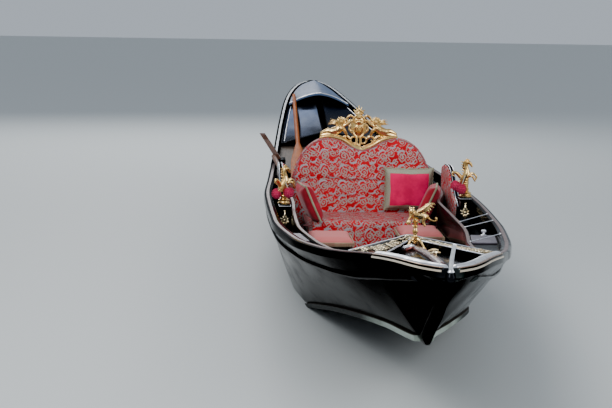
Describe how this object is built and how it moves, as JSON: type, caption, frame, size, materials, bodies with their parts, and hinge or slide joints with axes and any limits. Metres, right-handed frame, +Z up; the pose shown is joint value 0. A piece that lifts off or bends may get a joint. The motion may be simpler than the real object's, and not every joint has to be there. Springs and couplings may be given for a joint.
{
  "type": "venetian rowing boat",
  "caption": "Long black flat-bottomed rowing boat with upswept decked ends, a passenger sofa, gilded ornaments, a lift-out rowlock and an oar.",
  "frame": {"origin": "on the flat underside of the hull amidships, 5.4 m aft of the bow tip, below the line from stem to sternpost", "axes": "+Z up, -Y towards the bow, +X to port"},
  "size_m": [1.5172, 10.8548, 1.292],
  "materials": {
    "black_lacquer": "deep black gloss paint over planed wood",
    "keel_paint": "grey-green bottom paint, matt",
    "grey_paint": "blue-grey paint, half gloss",
    "polished_wood": "brown-grey polished wood",
    "silver_metal": "bright worn metal",
    "walnut": "dark oiled walnut",
    "boards": "dull dark floor boards",
    "gilt": "polished gilded casting",
    "brocade": "red and silver-grey woven damask",
    "crimson_cloth": "crimson velvet with pale lace border",
    "salmon_cloth": "salmon-red cushion cloth with beige fringe",
    "oar_wood": "varnished orange-brown wood"
  },
  "bodies": {
    "hull": {"bow_coaming": "black_lacquer", "bow_creature": "gilt", "bow_deck": "black_lacquer", "bow_post": "silver_metal", "bow_ridge": "walnut", "bow_stand": "gilt", "bow_strip_port": "silver_metal", "bow_strip_starboard": "silver_metal", "cushion_arm_port": "crimson_cloth", "cushion_arm_starboard": "crimson_cloth", "cushion_square": "crimson_cloth", "deck_cover_port": "grey_paint", "deck_cover_starboard": "grey_paint", "floor_boards": "boards", "forcola_socket": "black_lacquer", "hull_bottom": "keel_paint", "inner_rail_port": "black_lacquer", "inner_rail_starboard": "black_lacquer", "oar": "oar_wood", "pedestal_port": "black_lacquer", "pedestal_starboard": "black_lacquer", "pole": "oar_wood", "rail_port": "black_lacquer", "rail_starboard": "black_lacquer", "rub_port": "black_lacquer", "rub_starboard": "black_lacquer", "side_deck_port": "black_lacquer", "side_deck_starboard": "black_lacquer", "side_figure_port": "gilt", "side_figure_starboard": "gilt", "side_port": "black_lacquer", "side_starboard": "black_lacquer", "sofa_arm_port": "black_lacquer", "sofa_arm_starboard": "black_lacquer", "sofa_back": "brocade", "sofa_base": "black_lacquer", "sofa_crest": "gilt", "sofa_seat": "brocade", "stem": "black_lacquer", "stern_bulkhead": "black_lacquer", "stern_cap": "black_lacquer", "stern_coaming": "black_lacquer", "stern_deck": "black_lacquer", "stern_platform": "boards", "stern_ridge": "black_lacquer", "sternpost": "black_lacquer", "stool_cushion_port": "salmon_cloth", "stool_cushion_starboard": "salmon_cloth", "stool_port": "black_lacquer", "stool_starboard": "black_lacquer", "thwart": "polished_wood"},
    "rowlock": {"forcola": "walnut"}
  },
  "joints": [
    {"name": "rowlock_lift", "type": "slide", "parent": "hull", "child": "rowlock", "axis": [0, 0, 1], "range_m": [0, 0.12]}
  ]
}
